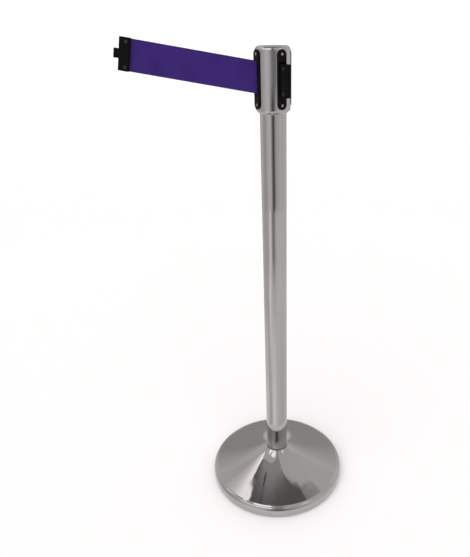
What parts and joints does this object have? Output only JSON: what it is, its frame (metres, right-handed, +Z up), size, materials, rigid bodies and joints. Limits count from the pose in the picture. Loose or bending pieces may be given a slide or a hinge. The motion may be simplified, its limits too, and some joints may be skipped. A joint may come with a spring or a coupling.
{
  "type": "retractable belt stanchion",
  "caption": "Free-standing polished post on a weighted round base, with a spring-wound belt cassette and clip receivers in its head.",
  "frame": {"origin": "centre of the base's underside, on the floor, on the post's axis", "axes": "+Z up the post; +X through the right-hand belt receiver; the belt leaves through the port on -X"},
  "size_m": [0.4141, 0.32, 1.0183],
  "materials": {
    "chrome": "mirror polished",
    "screw_steel": "bright plated",
    "black_steel": "black coated",
    "cast_iron": "rough cast",
    "rubber": "matte ribbed",
    "zinc_steel": "zinc plated",
    "spring_steel": "blued strip",
    "black_plastic": "fine moulded texture",
    "tongue_plastic": "smooth acetal",
    "drum_plastic": "natural nylon",
    "bronze": "sintered",
    "felt": "pressed felt",
    "belt_fabric": "woven polyester webbing"
  },
  "bodies": {
    "post": {"axle_retaining_ring": "zinc_steel", "base_bolt": "zinc_steel", "base_cover": "chrome", "base_lock_washer": "zinc_steel", "base_washer": "zinc_steel", "base_weight": "cast_iron", "belt_port": "black_plastic", "brake_washer": "felt", "cassette_core": "black_plastic", "cassette_lid": "black_plastic", "cassette_screws": "zinc_steel", "corner_blocks": "black_plastic", "floor_pad": "rubber", "guide_pins": "zinc_steel", "head_adapter": "black_plastic", "head_cap": "chrome", "head_shell": "chrome", "lid_screws": "zinc_steel", "mainspring": "spring_steel", "plate_screws": "screw_steel", "post_tube": "chrome", "receiver_back": "black_plastic", "receiver_front": "black_plastic", "receiver_right": "black_plastic", "spool_axle": "zinc_steel", "spring_barrel": "zinc_steel", "tube_foot_plug": "zinc_steel"},
    "spool": {"spool_drum": "drum_plastic", "lower_bush": "bronze", "upper_bush": "bronze", "wound_belt": "belt_fabric"},
    "belt_end": {"belt_run": "belt_fabric", "belt_clip_front": "black_plastic", "belt_clip_back": "black_plastic", "belt_clip_tongue": "tongue_plastic", "belt_clip_rivets": "black_steel"},
    "docked_clip": {"docked_clip_front": "black_plastic", "docked_clip_back": "black_plastic", "docked_clip_tongue": "tongue_plastic", "docked_clip_rivets": "black_steel"}
  },
  "joints": [
    {"name": "belt_pull", "type": "slide", "parent": "post", "child": "belt_end", "axis": [-0.8529, 0.4924, 0.1736], "range_m": [-0.212, 1.75], "deforming": ["belt_run"]},
    {"name": "spool_turn", "type": "hinge", "parent": "post", "child": "spool", "pos_m": [0, 0, 0.941], "axis": [0, 0, 1], "range_deg": [-5900, 720], "deforming": ["mainspring"]},
    {"name": "docked_clip_lift", "type": "slide", "parent": "post", "child": "docked_clip", "axis": [0, 0, 1], "range_m": [0, 0.022]}
  ],
  "couplings": [
    {"joint": "spool_turn", "follows": "belt_pull", "rad_per_m": -57.1}
  ]
}
